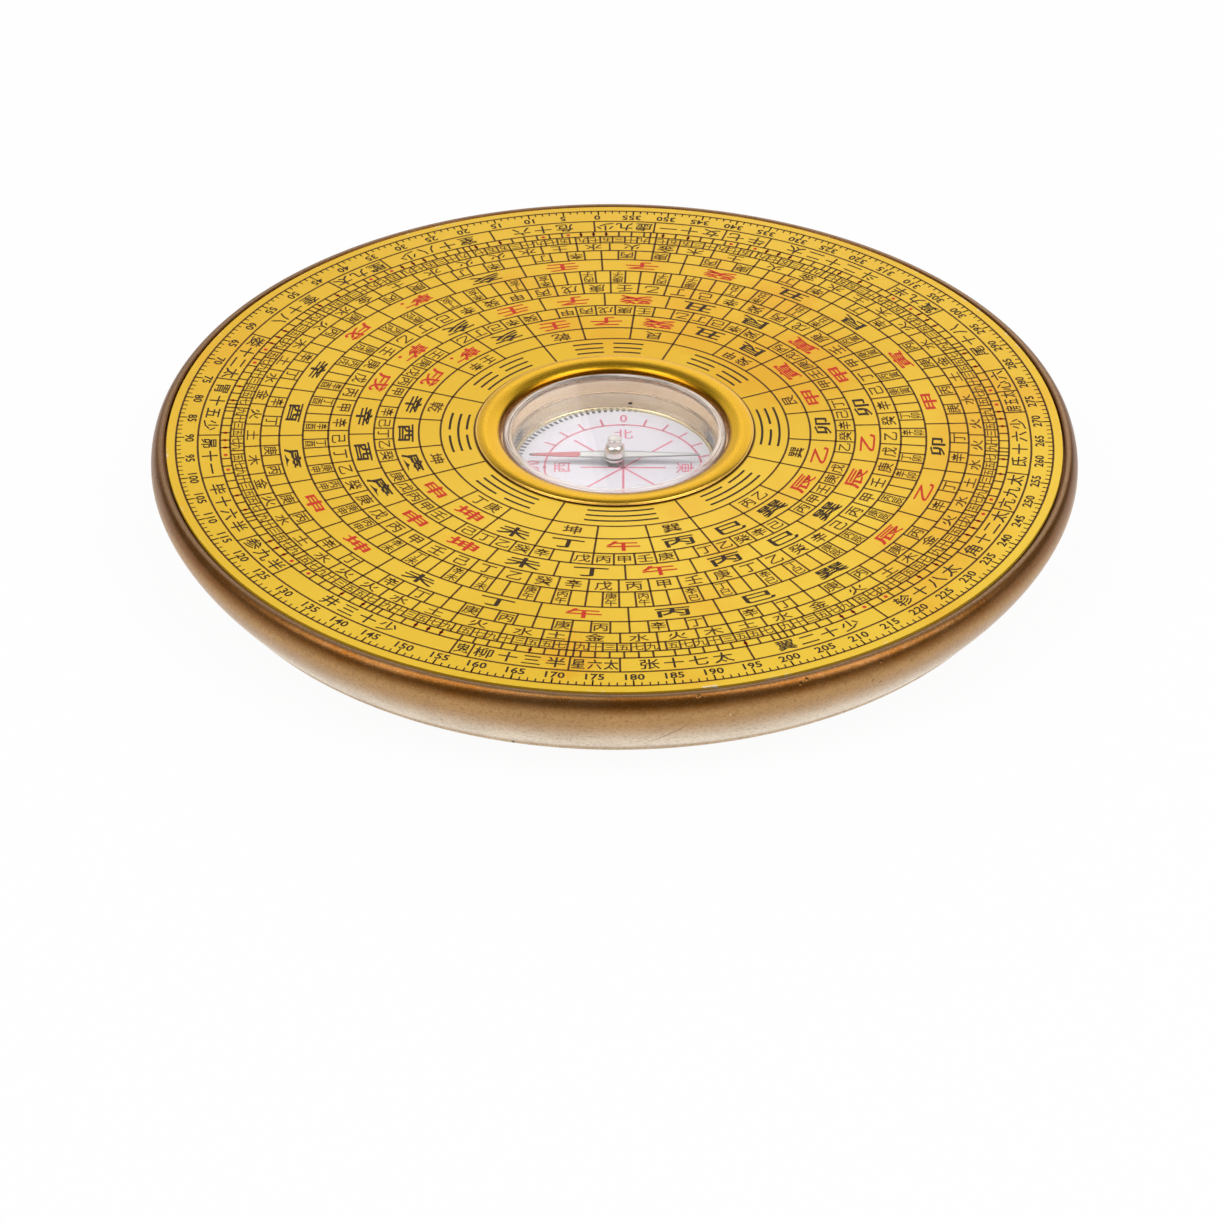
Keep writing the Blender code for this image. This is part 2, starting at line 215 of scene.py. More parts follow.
def turned(name, section, steps=TURN_STEPS):
    """A closed section of (r, z) carried round Z, where a point on the axis becomes one pole.

    The section may run either way round.
    """
    section = np.asarray(section, float)
    r, z = section.T
    if np.sum(r * np.roll(z, -1) - z * np.roll(r, -1)) > 0:
        section = section[::-1]
    index = np.arange(len(section) * steps).reshape(len(section), steps)
    on_axis = section[:, 0] < 1e-9
    index[on_axis] = index[on_axis, :1]
    used, numbered = np.unique(index, return_inverse=True)
    index = numbered.reshape(index.shape)
    corners = [tuple(dict.fromkeys(q)) for q in quads_between(index, np.roll(index, -1, 0)).tolist()]
    points = carried_round(section, steps)[used]
    return mesh_object(name, points, [face for face in corners if len(face) > 2], SMOOTH_ANGLE)


def swept(name, line, steps=TURN_STEPS):
    """An open line of (r, z) carried round Z as a thin sheet that faces outwards."""
    index = np.arange(len(line) * steps).reshape(len(line), steps)
    quads = quads_between(index[:-1], index[1:])
    return mesh_object(name, carried_round(line, steps), quads[:, ::-1].tolist(), SMOOTH_ANGLE)


# Shader writing

class Value:
    """A shader socket that can stand in a sum; an expression on values adds its Math nodes."""

    def __init__(self, nodes, socket):
        self.nodes = nodes
        self.socket = socket

    def math(self, operation, *others):
        return self.nodes.node("Math", {"operation": operation}, self, *others)

    def __add__(self, other):
        return self.math("ADD", other)

    def __mul__(self, other):
        return self.math("MULTIPLY", other)

    def __sub__(self, other):
        return self.math("SUBTRACT", other)

    def __truediv__(self, other):
        return self.math("DIVIDE", other)

    def __rsub__(self, other):
        return self.nodes.node("Math", {"operation": "SUBTRACT"}, other, self)

    def __gt__(self, other):
        return self.math("GREATER_THAN", other)

    def __lt__(self, other):
        return self.math("LESS_THAN", other)

    __radd__ = __add__
    __rmul__ = __mul__


class Nodes:
    """A tree of shader nodes, and the shader that it starts with."""

    def __init__(self, tree, shader):
        self.tree = tree
        self.shader = tree.nodes[shader]

    def set(self, **sockets):
        """Sets or links the first shader's sockets, named with _ for spaces."""
        for name, value in sockets.items():
            self.feed(self.shader.inputs[name.replace("_", " ")], value)

    def feed(self, socket, value):
        """Links a value to a socket, or sets a number or a colour on it."""
        if isinstance(value, Value):
            self.tree.links.new(value.socket, socket)
        elif isinstance(value, tuple) and len(value) == 3 and socket.type == "RGBA":
            socket.default_value = (*value, 1.0)
        else:
            socket.default_value = value

    def node(self, kind, settings, *values, out="", **named):
        """Adds one node: its settings first, then its sockets in order or by name.

        The result is its first output in use, or the one named by out.
        """
        made = self.tree.nodes.new("ShaderNode" + kind)
        for key, value in settings.items():
            setattr(made, key, value)
        for socket, value in zip([s for s in made.inputs if s.enabled], values):
            self.feed(socket, value)
        for name, value in named.items():
            self.feed(made.inputs[name.replace("_", " ")], value)
        return Value(self, [s for s in made.outputs if s.enabled and out in ("", s.name)][0])

    def mix(self, factor, low, high):
        """A colour between low, at factor 0, and high, at factor 1."""
        return self.node("Mix", {"data_type": "RGBA"}, factor, low, high)

    def coats(self, colour, *layers):
        """A colour with each layer, a mask and its tint, laid over it in turn."""
        for mask, tint in layers:
            colour = self.mix(mask, colour, tint)
        return colour

    def rise(self, value, low, high):
        """Rises from 0 to 1 as value goes from low to high, smoothly."""
        settings = {"interpolation_type": "SMOOTHSTEP", "clamp": True}
        return self.node("MapRange", settings, Value=value, From_Min=low, From_Max=high)

    def fall(self, value, low, high):
        """Falls from 1 to 0 as value goes from low to high, smoothly."""
        return 1.0 - self.rise(value, low, high)

    def show(self, share, other, output):
        """Shows a share of another shader in place of the first one."""
        first = Value(self, self.shader.outputs[0])
        mixed = self.node("MixShader", {}, share, first, other)
        self.tree.links.new(mixed.socket, self.tree.nodes[output].inputs["Surface"])


class Finish(Nodes):
    """A material, its shader nodes, and the place on the piece that its patterns read."""

    def __init__(self, name, **sockets):
        self.material = bpy.data.materials.new(name)
        self.material.use_nodes = True
        super().__init__(self.material.node_tree, "Principled BSDF")
        self.set(**sockets)
        self.place = self.node("TexCoord", {}, out="Object")
        self.x, self.y, self.z = (self.node("SeparateXYZ", {}, self.place, out=axis) for axis in "XYZ")

    def radius(self):
        """Distance from the pivot's axis."""
        return (self.x * self.x + self.y * self.y).math("SQRT")

    def noise(self, scale, detail=2.0, roughness=0.5, at=None):
        """Cloudy noise over the piece, or over another vector."""
        at = at or self.place
        return self.node("TexNoise", {}, Vector=at, Scale=scale, Detail=detail, Roughness=roughness)

    def turning_lines(self, fineness, breaks, detail=3.0, roughness=0.6):
        """Noise drawn out into fine lines round the pivot's axis, broken a few times in a turn."""
        bearing = self.x.math("ARCTAN2", self.y) / math.tau
        across = self.radius() * fineness
        lines = self.node("CombineXYZ", {}, across, bearing * breaks, self.z * fineness)
        return self.noise(1.0, detail, roughness, lines)

    def bump(self, height, strength, distance):
        self.set(Normal=self.node("Bump", {}, Strength=strength, Distance=distance, Height=height))


def dress(piece, finish, body, replaces=()):
    """Gives a piece its finish and body, and hides the CAD nodes that it stands for."""
    piece.data.materials.clear()
    piece.data.materials.append(finish.material)
    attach(piece, body)
    if replaces:
        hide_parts(*replaces)


# Finishes

SCRATCH_FOOT = (2.5 * MM, 4.2 * MM)
SCRATCH_SLOPE = 0.94


def paint_by_height(f):
    """The paint's colour by height, with painted light: a pale foot as painted reflection of the bright
    floor, a dark shoulder as painted reflection of dark surroundings, a painted highlight and painted
    shade along the rim, and painted shade at the foot's edge.
    """
    rim = f.rise(f.z, RIM_HEIGHT - 0.15 * MM, RIM_HEIGHT)
    outer = f.rise(f.radius(), RECESS_RADIUS + 0.25 * MM, RECESS_RADIUS + 0.50 * MM)
    return f.coats(
        # Painted reflection of the bright floor: the pale colour at the foot
        (0.89, 0.75, 0.56),
        (f.rise(f.z, 0.2 * SHOULDER_Z, 0.9 * SHOULDER_Z), (0.48, 0.272, 0.104)),
        # Painted reflection of dark surroundings: the dark shoulder
        (f.rise(f.z, SHOULDER_Z, SHOULDER_Z + 0.6 * SHOULDER_DROP), (0.22, 0.074, 0.005)),
        # Painted highlight along the rim's outer edge
        (rim * outer * 0.40, (0.68, 0.47, 0.28)),
        # Painted shade along the rim's inner edge, at the gap by the plate
        (rim * (1.0 - outer) * 0.8, (0.12, 0.040, 0.010)),
        # Painted shade along the foot's rounded edge
        (f.fall(f.z, 0.08 * SHOULDER_Z, 0.2 * SHOULDER_Z) * 0.5, (0.46, 0.28, 0.13)),
    )


def scratch(f):
    """One scratch on the near side, a line z = foot + slope x that fades out at both ends."""
    off_line = (f.z - (f.x - SCRATCH_FOOT[0]) * SCRATCH_SLOPE - SCRATCH_FOOT[1]).math("ABSOLUTE")
    line = f.fall(off_line, 0.10 * MM, 0.24 * MM) * (f.y < 0.0)
    return line * f.rise(f.x, 1.5 * MM, 4.0 * MM) * f.fall(f.x, 9.0 * MM, 12.0 * MM)


def bronze_paint():
    """Bronze paint over pressed board, with painted reflection and shade by height, pebbled and
    flecked, with small pits, dust and one scratch.

    The pocket under the bezel is bare board.
    """
    f = Finish("bronze_paint")
    cloud = f.noise(90.0, 5.0, 0.65)
    fleck = f.noise(5200.0, 1.0)
    grain = f.noise(1500.0, 3.0, 0.6)
    cell = f.node("TexVoronoi", {"feature": "F1"}, Vector=f.place, Scale=330.0)
    pick = f.noise(160.0, 1.0)
    pit = f.fall(cell, 0.06, 0.16) * f.rise(pick, 0.60, 0.62)
    dust = f.fall(cell, 0.03, 0.07) * f.rise(pick, 0.34, 0.36) * (pick < 0.40)
    colour = f.coats(
        paint_by_height(f),
        (f.rise(cloud, 0.35, 0.7) * 0.3, (0.34, 0.19, 0.08)),
        (f.rise(fleck, 0.55, 0.76) * 0.25, (0.80, 0.58, 0.36)),
        (f.rise(grain, 0.45, 0.75) * 0.5, (0.20, 0.095, 0.030)),
        (pit * 0.8, (0.10, 0.055, 0.022)),
        (dust, (0.85, 0.78, 0.66)),
        (scratch(f) * 0.75, (0.13, 0.06, 0.02)),
    )
    bare = (f.radius() < PLATE_HOLE) * (f.z > BODY_FLOOR * 0.5)
    board = f.mix(f.noise(1400.0, 4.0, 0.7), (0.97, 0.58, 0.31), (1.0, 0.74, 0.44))
    f.set(
        Base_Color=f.mix(bare, colour, board),
        Roughness=0.27 + grain * 0.16 + bare * 0.4,
        Metallic=(1.0 - bare) * 0.88,
    )
    f.bump(grain * 0.7 + f.noise(420.0, 2.0) * 0.9 - pit * 2.5, 0.5, 0.10 * MM)
    return f


# Orange stains on the plate: the middle of each, and its radius
STAINS = (
    ((37.0 * MM, 24.0 * MM), 24.0 * MM),
    ((38.4 * MM, 52.0 * MM), 13.0 * MM),
    ((-12.5 * MM, -82.0 * MM), 9.0 * MM),
)


def plate_tarnish(f):
    """Where the plate is orange: faint clouds, and the stains with their uneven edges."""
    tarnish = f.rise(f.noise(21.0, 3.0, 0.55), 0.56, 0.72)
    edge = (f.noise(190.0, 4.0, 0.65) - 0.5) * (22.0 * MM)
    for middle, size in STAINS:
        away = f.node("VectorMath", {"operation": "DISTANCE"}, f.place, (*middle, PLATE_TOP))
        tarnish = tarnish.math("MAXIMUM", f.fall(away + edge, 0.3 * size, size))
    return tarnish


def dial_gold():
    """Satin gold sheet, with painted shade that makes its far side a little deeper, tarnished, and worn
    whitish at its outer edge.

    A dark line of painted shadow lies along the bezel's edge, where the gap under it is in shade.
    """
    f = Finish("dial_gold", Metallic=0.25, Specular_IOR_Level=0.25)
    radius = f.radius()
    cloud = f.rise(f.noise(14.0, 2.0), 0.3, 0.7)
    # Painted shade: the far side's colour is a darker copy of the near side's
    near = f.mix(cloud, (0.84, 0.525, 0.032), (0.91, 0.605, 0.050))
    far = f.mix(cloud, (0.80, 0.465, 0.020), (0.87, 0.540, 0.034))
    mottle = f.noise(1900.0, 2.0)
    wear = f.rise(radius, PLATE_RADIUS - 0.7 * MM, PLATE_RADIUS - 0.25 * MM)
    wear = wear * f.rise(f.noise(260.0, 4.0, 0.7), 0.60, 0.70)
    # Painted shadow of the gap under the bezel's edge, a dark line on the plate
    painted_shade = f.fall(radius, BEZEL_RADIUS + 0.2 * MM, BEZEL_RADIUS + 0.6 * MM)
    colour = f.coats(
        f.mix(f.rise(f.y, -60.0 * MM, 70.0 * MM), near, far),
        (plate_tarnish(f) * 0.5, (0.82, 0.36, 0.012)),
        (mottle * 0.10, (0.70, 0.42, 0.02)),
        (wear * 0.7, (0.88, 0.86, 0.76)),
        (painted_shade * 0.95, (0.05, 0.012, 0.001)),
    )
    f.set(Base_Color=colour, Roughness=0.36 + mottle * 0.12)
    f.bump(mottle, 0.08, 0.05 * MM)
    return f


def ink(name, colour):
    """Printing ink, a little uneven in cover and gloss."""
    f = Finish(name, Specular_IOR_Level=0.2)
    patch = f.noise(3100.0, 2.0)
    pale = tuple(0.8 * c + 0.07 for c in colour)
    thin = f.rise(patch, 0.55, 0.85) * 0.6
    f.set(Base_Color=f.mix(thin, colour, pale), Roughness=0.40 + patch * 0.15)
    return f


def bezel_gold():
    """Satin gold anodised ring with fine lines from turning, with painted shade at its lip and a
    painted shadow under its edge.
    """
    f = Finish("bezel_gold", Metallic=1.0)
    radius = f.radius()
    lines = f.turning_lines(9000.0, 14.0)
    cloud = f.rise(f.noise(70.0, 2.0), 0.45, 0.75)
    # Painted shade at the lip, darkening towards the spigot
    lip = f.fall(radius, SPIGOT_INNER + 0.2 * MM, SPIGOT_INNER + 1.0 * MM)
    # Painted shadow under the edge, along the flange's foot
    under = f.fall(f.z, PLATE_TOP + 0.20 * MM, PLATE_TOP + 0.32 * MM) * (radius > SPIGOT_OUTER)
    colour = f.coats(
        f.mix(lines, (0.90, 0.47, 0.014), (1.0, 0.60, 0.038)),
        (cloud * 0.25, (0.76, 0.38, 0.02)),
        (f.rise(radius, BEZEL_RADIUS - 0.9 * MM, BEZEL_RADIUS) * 0.3, (0.92, 0.64, 0.36)),
        (lip * 0.8, (0.24, 0.065, 0.002)),
        (under * 0.9, (0.08, 0.02, 0.001)),
    )
    f.set(Base_Color=colour, Roughness=0.20 + lines * 0.14)
    f.bump(lines, 0.22, 0.03 * MM)
    return f


def clear_plastic():
    """Clear moulded plastic that lets the lamps' light through to what is inside."""
    f = Finish("clear_plastic", Base_Color=(0.985, 0.985, 0.975), Transmission_Weight=1.0, IOR=1.49)
    haze_and_glints = f.noise(900.0, 3.0)
    f.set(Roughness=f.rise(haze_and_glints, 0.5, 0.9) * 0.04)
    shadow = f.node("LightPath", {}, out="Is Shadow Ray")
    open_way = f.node("BsdfTransparent", {}, Color=(0.97, 0.97, 0.96))
    f.show(shadow, open_way, "Material Output")
    return f


def milky_streaks():
    """Painted glints: whitish streaks that run round the axis, clear between, standing for light
    reflected and refracted in the cover's rounded corner, with painted shade in the groove at the
    bezel.
    """
    f = Finish("milky_streaks", Roughness=0.3, Specular_IOR_Level=0.2)
    radius = f.radius()
    streak = f.turning_lines(2600.0, 9.0)
    inner = COVER_RADIUS - COVER_SHOULDER[0]
    fade = f.rise(radius, inner, inner + 0.8 * MM)
    # How much of the painted glint sheet shows: streaky arcs fading in towards the corner
    haze_and_glints = (0.22 + f.rise(streak, 0.42, 0.60) * 0.50) * fade
    # Painted shade in the groove between the cover's corner and the bezel
    painted_shade = f.rise(radius, COVER_RADIUS - 0.42 * MM, COVER_RADIUS - 0.20 * MM) * 0.6
    white = f.mix(streak, (0.80, 0.63, 0.50), (0.98, 0.91, 0.86))
    f.set(
        Base_Color=f.mix(painted_shade, white, (0.17, 0.05, 0.006)),
        Alpha=haze_and_glints * (1.0 - painted_shade) + painted_shade,
    )
    return f


def card_paper():
    """White coated card, faintly lavender and clouded."""
    f = Finish("card")
    fibre = f.noise(5200.0, 2.0)
    colour = f.mix(f.noise(120.0, 3.0), (0.500, 0.473, 0.524), (0.546, 0.519, 0.570))
    f.set(Base_Color=f.mix(fibre * 0.2, colour, (0.55, 0.52, 0.57)), Roughness=0.42 + fibre * 0.1)
    return f


def bright_metal(name, low, high, scale, smoothest, spread):
    """Bright metal, faintly uneven in colour and gloss."""
    f = Finish(name, Metallic=1.0)
    patch = f.noise(scale, 2.0)
    f.set(Base_Color=f.mix(patch, low, high), Roughness=smoothest + patch * spread)
    return f


def needle_finish():
    """Ground steel along the blade, with painted shade along its edges, and red paint on one arm and
    its rounded inner end.
    """
    f = Finish("needle_steel")
    s, c = math.sin(NEEDLE_BEARING), math.cos(NEEDLE_BEARING)
    along = f.y * c - f.x * s
    across = f.x * c + f.y * s
    grinding = f.node("CombineXYZ", {}, along * 300.0, across * 9000.0, f.z * 900.0)
    ground = f.noise(1.0, 3.0, 0.6, grinding)
    steel = f.mix(ground, (0.62, 0.61, 0.60), (0.82, 0.80, 0.80))
    half = ROOT_HALF - along.math("ABSOLUTE") * ((ROOT_HALF - TIP_HALF) / NEEDLE_REACH)
    # Painted shade: dark lines along the blade's edges
    rim = f.rise(across.math("ABSOLUTE") - half, -0.40 * MM, -0.16 * MM)
    steel = f.mix(rim * 0.75, steel, (0.16, 0.16, 0.165))
    red = f.mix(f.noise(700.0, 2.0), (0.33, 0.065, 0.075), (0.44, 0.095, 0.105))
    soot = f.rise(along, NEEDLE_REACH - 1.6 * MM, NEEDLE_REACH)
    red = f.mix(soot, red, (0.10, 0.07, 0.07))
    end = RED_START + across * across * (0.5 / MM)
    painted = f.rise(along - end, -0.05 * MM, 0.05 * MM)
    f.set(
        Base_Color=f.mix(painted, steel, red),
        Metallic=(1.0 - painted) * 0.7,
        Roughness=0.34 + ground * 0.12 + painted * 0.10,
    )
    f.bump(ground * (1.0 - painted) + painted * 1.5, 0.15, 0.05 * MM)
    return f


def nickel():
    """Turned and nickel-plated brass with fine rings."""
    f = Finish("nickel", Metallic=1.0)
    rings = f.turning_lines(14000.0, 9.0, 2.0, 0.5)
    colour = f.mix(rings, (0.76, 0.71, 0.64), (0.92, 0.88, 0.83))
    f.set(Base_Color=colour, Roughness=0.16 + rings * 0.14)
    f.bump(rings, 0.12, 0.02 * MM)
    return f


def tape(name, low, high, scale):
    """Adhesive film or foam, seen only when the compass is taken apart."""
    f = Finish(name)
    cells = f.noise(scale, 3.0, 0.7)
    f.set(Base_Color=f.mix(cells, low, high), Roughness=0.6 + cells * 0.3)
    f.bump(cells, 0.3, 0.08 * MM)
    return f


def jewel_glass():
    """Rose-coloured bearing glass."""
    f = Finish("jewel", Roughness=0.08, IOR=1.7)
    f.set(Base_Color=f.mix(f.noise(2000.0, 2.0), (0.62, 0.36, 0.38), (0.75, 0.50, 0.52)))
    return f


# Turned pieces

def make_body():
    """The body: a rounded shoulder, a bulging taper to the foot, a recess on top and a stepped pocket.

    The taper draws in by SIDE_TAPER times the share of the way down, to the power of SIDE_BULGE.
    """
    rim_radius = RECESS_RADIUS + RIM_LAND
    foot_radius = BODY_RADIUS - SIDE_TAPER
    share = np.linspace(0.0, 1.0, 4 * ARC_STEPS + 1)[1:-1]
    side_r = BODY_RADIUS - SIDE_TAPER * share ** SIDE_BULGE
    side_z = FOOT_ROUND + (SHOULDER_Z - FOOT_ROUND) * (1.0 - share)
    step_z = SPIGOT_BOTTOM - SEAT_GAP
    section = np.concatenate([
        arc((RECESS_RADIUS + RIM_EDGE, RIM_HEIGHT - RIM_EDGE), (RIM_EDGE, RIM_EDGE), 180, 90, 4),
        arc((rim_radius, SHOULDER_Z), (SHOULDER_OUT, SHOULDER_DROP), 90, 0, 2 * ARC_STEPS),
        np.stack([side_r, side_z], 1),
        arc((foot_radius - FOOT_ROUND, FOOT_ROUND), (FOOT_ROUND, FOOT_ROUND), 0, -90),
        [(0.0, 0.0), (0.0, BODY_FLOOR), (POCKET_RADIUS, BODY_FLOOR), (POCKET_RADIUS, step_z)],
        [(COUNTERBORE, step_z), (COUNTERBORE, RECESS_FLOOR), (RECESS_RADIUS, RECESS_FLOOR)],
    ])
    dress(turned("body", section), bronze_paint(), HOUSING, ["base_body"])


def flat_ring(name, inner, outer, bottom, top, edge, steps=4):
    """A flat ring whose two upper edges are rolled."""
    corners = [(inner, top, edge), (outer, top, edge), (outer, bottom, 0), (inner, bottom, 0)]
    return turned(name, fillet(corners, steps))


def make_plate():
    """The dial plate with slightly rolled edges."""
    plate = flat_ring("plate", PLATE_HOLE, PLATE_RADIUS, PLATE_BOTTOM, PLATE_TOP, 0.12 * MM)
    dress(plate, dial_gold(), HOUSING, ["dial_plate"])


def make_bezel():
    """The bezel: a thin rounded edge, a low arch of two quarter ellipses, and the spigot."""
    flange_z = PLATE_TOP + FLANGE_HEIGHT
    crest_radius = SPIGOT_INNER + INNER_SLOPE
    lip_z = PLATE_TOP - LIP_DROP
    edge = EDGE_ROUND_SHARE * (flange_z - BEZEL_FOOT)
    section = np.concatenate([
        [(BEZEL_RADIUS, BEZEL_FOOT)],
        arc((BEZEL_RADIUS - edge, flange_z - edge), (edge, edge), 0, 90, 6),
        arc((crest_radius, flange_z), (OUTER_SLOPE, BEZEL_TOP - flange_z), 0, 90, 2 * ARC_STEPS),
        arc((crest_radius, lip_z), (INNER_SLOPE, BEZEL_TOP - lip_z), 90, 180, 3 * ARC_STEPS)[1:],
        [(SPIGOT_INNER, SPIGOT_BOTTOM), (SPIGOT_OUTER, SPIGOT_BOTTOM), (SPIGOT_OUTER, BEZEL_FOOT)],
    ])
    dress(turned("bezel", section), bezel_gold(), HOUSING, ["bezel_ring"])


def cover_round():
    """The cover's outer corner."""
    centre = (COVER_RADIUS - COVER_ROUND, COVER_TOP - COVER_ROUND)
    return arc(centre, (COVER_ROUND, COVER_ROUND), 90, 0, 2 * ARC_STEPS)


def make_haze():
    """Painted glints: whitish streaks, standing for light reflected and refracted in the cover's
    rounded corner, as a sheet just over it.
    """
    start = [(COVER_RADIUS - COVER_SHOULDER[0], COVER_TOP + COVER_SHEET_LIFT)]
    line = np.concatenate([start, cover_round() + COVER_SHEET_LIFT])
    dress(swept("cover_glints", line), milky_streaks(), HOUSING)


def make_clear_parts():
    """The clear cover with its skirt, and the clear base with its wall and the boss for the pin."""
    clear = clear_plastic()
    inner = COVER_RADIUS - COVER_WALL
    hollow_centre = np.array([COVER_RADIUS, COVER_TOP]) - COVER_SHOULDER
    cover = np.concatenate([
        [(0.0, COVER_TOP - COVER_THICK), (0.0, COVER_TOP)],
        cover_round(),
        [(COVER_RADIUS, COVER_BOTTOM), (inner, COVER_BOTTOM)],
        arc(hollow_centre, COVER_SHOULDER - (COVER_WALL, COVER_THICK), 0, 90),
    ])
    dress(turned("cover", cover), clear, HOUSING, ["capsule_cover"])

    floor_top = COVER_BOTTOM - SEAT_GAP
    wall_inner = BASE_WALL_OUTER - BASE_WALL
    boss_top = CARD_TOP + BOSS_HEIGHT
    socket_floor = PIN_BOTTOM - FINE_GAP
    edge = 0.25 * MM
    socket_edge = 0.1 * MM
    base = fillet([
        (0.0, socket_floor, 0), (PIN_SOCKET, socket_floor, 0), (PIN_SOCKET, boss_top, socket_edge),
        (BOSS_RADIUS, boss_top, edge), (BOSS_RADIUS, floor_top, edge), (wall_inner, floor_top, edge),
        (wall_inner, BASE_WALL_TOP, edge), (BASE_WALL_OUTER, BASE_WALL_TOP, edge),
        (BASE_WALL_OUTER, floor_top, edge), (COVER_RADIUS, floor_top, edge),
        (COVER_RADIUS, BASE_BOTTOM, edge), (0.0, BASE_BOTTOM, 0),
    ])
    dress(turned("base", base), clear, HOUSING, ["capsule_base"])


def make_card():
    """The card, and the bright hoop round its edge."""
    card = flat_ring("card", CARD_HOLE, CARD_RADIUS, CARD_BOTTOM, CARD_TOP, 0.05 * MM, 2)
    dress(card, card_paper(), HOUSING, ["compass_card"])
    hoop_inner, hoop_top = HOOP_RADIUS - HOOP_WIDTH, HOOP_TOP + HOOP_RAISED
    hoop = flat_ring("hoop", hoop_inner, HOOP_RADIUS, HOOP_BOTTOM, hoop_top, 0.18 * MM)
    brass = bright_metal("hoop_brass", (1.0, 0.80, 0.36), (1.0, 0.90, 0.60), 1200.0, 0.16, 0.12)
    dress(hoop, brass, HOUSING, ["card_hoop"])


def make_pin():
    """The pin, which tapers to its point."""
    taper_z = PIN_TOP - PIN_POINT_LENGTH
    pin = fillet([
        (0.0, PIN_TOP, 0), (PIN_POINT_RADIUS, PIN_TOP, 0.02 * MM), (PIN_RADIUS, taper_z, 0.2 * MM),
        (PIN_RADIUS, PIN_BOTTOM, 0.05 * MM), (0.0, PIN_BOTTOM, 0),
    ])
    steel = bright_metal("pin_steel", (0.48, 0.48, 0.50), (0.66, 0.66, 0.68), 2600.0, 0.18, 0.1)
    dress(turned("pin", pin, SMALL_TURN_STEPS), steel, HOUSING, ["pivot_pin"])


def make_hub():
    """The cap, a flat-topped knob on a round bell with a bored neck, and the collar under the blade."""
    metal = nickel()
    bell_z = BLADE_TOP + FINE_GAP
    bell_rise = CAP_TOP - KNOB_HEIGHT - bell_z - CAP_RIM
    edge = 0.18 * MM
    bore_top = CAP_TOP - CAP_ROOF
    cap = np.concatenate([
        [(0.0, CAP_TOP)],
        arc((KNOB_RADIUS - edge, CAP_TOP - edge), (edge, edge), 90, 0, 4),
        arc((KNOB_RADIUS, bell_z + CAP_RIM), (CAP_RADIUS - KNOB_RADIUS, bell_rise), 90, 0),
        [(CAP_RADIUS, bell_z), (NECK_RADIUS, bell_z), (NECK_RADIUS, CAP_BOTTOM)],
        [(CAP_BORE, CAP_BOTTOM), (CAP_BORE, bore_top), (0.0, bore_top)],
    ])
    dress(turned("cap", cap, SMALL_TURN_STEPS), metal, NEEDLE, ["needle_cap"])
    half = (CAP_RADIUS - EYE_HOLE) / 2
    collar = np.concatenate([
        [(EYE_HOLE, COLLAR_TOP)],
        arc((CAP_RADIUS - half, COLLAR_TOP), (half, COLLAR_TOP - COLLAR_BOTTOM), 0, -90),
        [(EYE_HOLE, COLLAR_BOTTOM)],
    ])
    dress(turned("collar", collar, SMALL_TURN_STEPS), metal, NEEDLE, ["needle_collar"])


# Needle blade

def blade_outline():
    """The blade from above: the eye's circle, and two arms that taper to round tips."""
    corner = math.degrees(math.acos(ROOT_HALF / EYE_RADIUS))
    eye = arc((0.0, 0.0), (EYE_RADIUS, EYE_RADIUS), corner, -corner, 12)
    tip = np.array([TIP_HALF, NEEDLE_REACH - TIP_HALF])
    nose = arc((0.0, tip[1]), (TIP_HALF, TIP_HALF), 90, 0, 6)[:-1]
    share = np.linspace(0.0, 1.0, 25)[:-1, None]
    mirrored = (1, -1)
    upper = tip + (eye[0] - tip) * share
    lower = eye[-1] + (tip * mirrored - eye[-1]) * share
    half = np.concatenate([nose, upper, eye, lower[1:], [tip * mirrored], nose[::-1] * mirrored])
    return np.concatenate([half[:-1], -half[:-1]])


def make_blade():
    """The blade: for each bearing round the eye, a line from its hole out to the outline.

    The rim is a half circle of the blade's thickness. At an angle a on it the outline stands sin a of
    the half thickness over the middle and draws in by 0.6 (1 - cos a) of it, or up to 1.6 times as
    much out along the arms.
    """
    outline = blade_outline()
    bearing = np.arctan2(outline[:, 0], outline[:, 1])
    hole = EYE_HOLE * np.stack([np.sin(bearing), np.cos(bearing)], 1)
    half = (BLADE_TOP - BLADE_BOTTOM) / 2
    middle = (BLADE_TOP + BLADE_BOTTOM) / 2
    length = np.linalg.norm(outline, axis=1, keepdims=True)
    rings = [(hole, BLADE_TOP)]
    for a in np.radians(np.linspace(90, -90, 7)):
        inset = 0.6 * half * (1.0 - math.cos(a)) * np.clip(length / EYE_RADIUS, 1.0, 1.6)
        rings.append((outline * (1.0 - inset / length), middle + half * math.sin(a)))
    rings.append((hole, BLADE_BOTTOM))
    grid = np.array([np.column_stack([ring, np.full(len(ring), z)]) for ring, z in rings])
    index = np.arange(grid.shape[0] * grid.shape[1]).reshape(grid.shape[:2])
    s, c = math.sin(NEEDLE_BEARING), math.cos(NEEDLE_BEARING)
    x, y, z = grid.reshape(-1, 3).T
    points = np.column_stack([x * c - y * s, x * s + y * c, z])
    quads = quads_between(index, np.roll(index, -1, 0)).tolist()
    blade = mesh_object("blade", points, quads, BLADE_SMOOTH_ANGLE)
    dress(blade, needle_finish(), NEEDLE, ["needle_blade"])


# Printing

FULL_SIGN = "国"
LETTERS = {}
LINE = 0.42 * MM
SMALL_BOLD = 0.010
DIRECTION_BOLD = 0.018


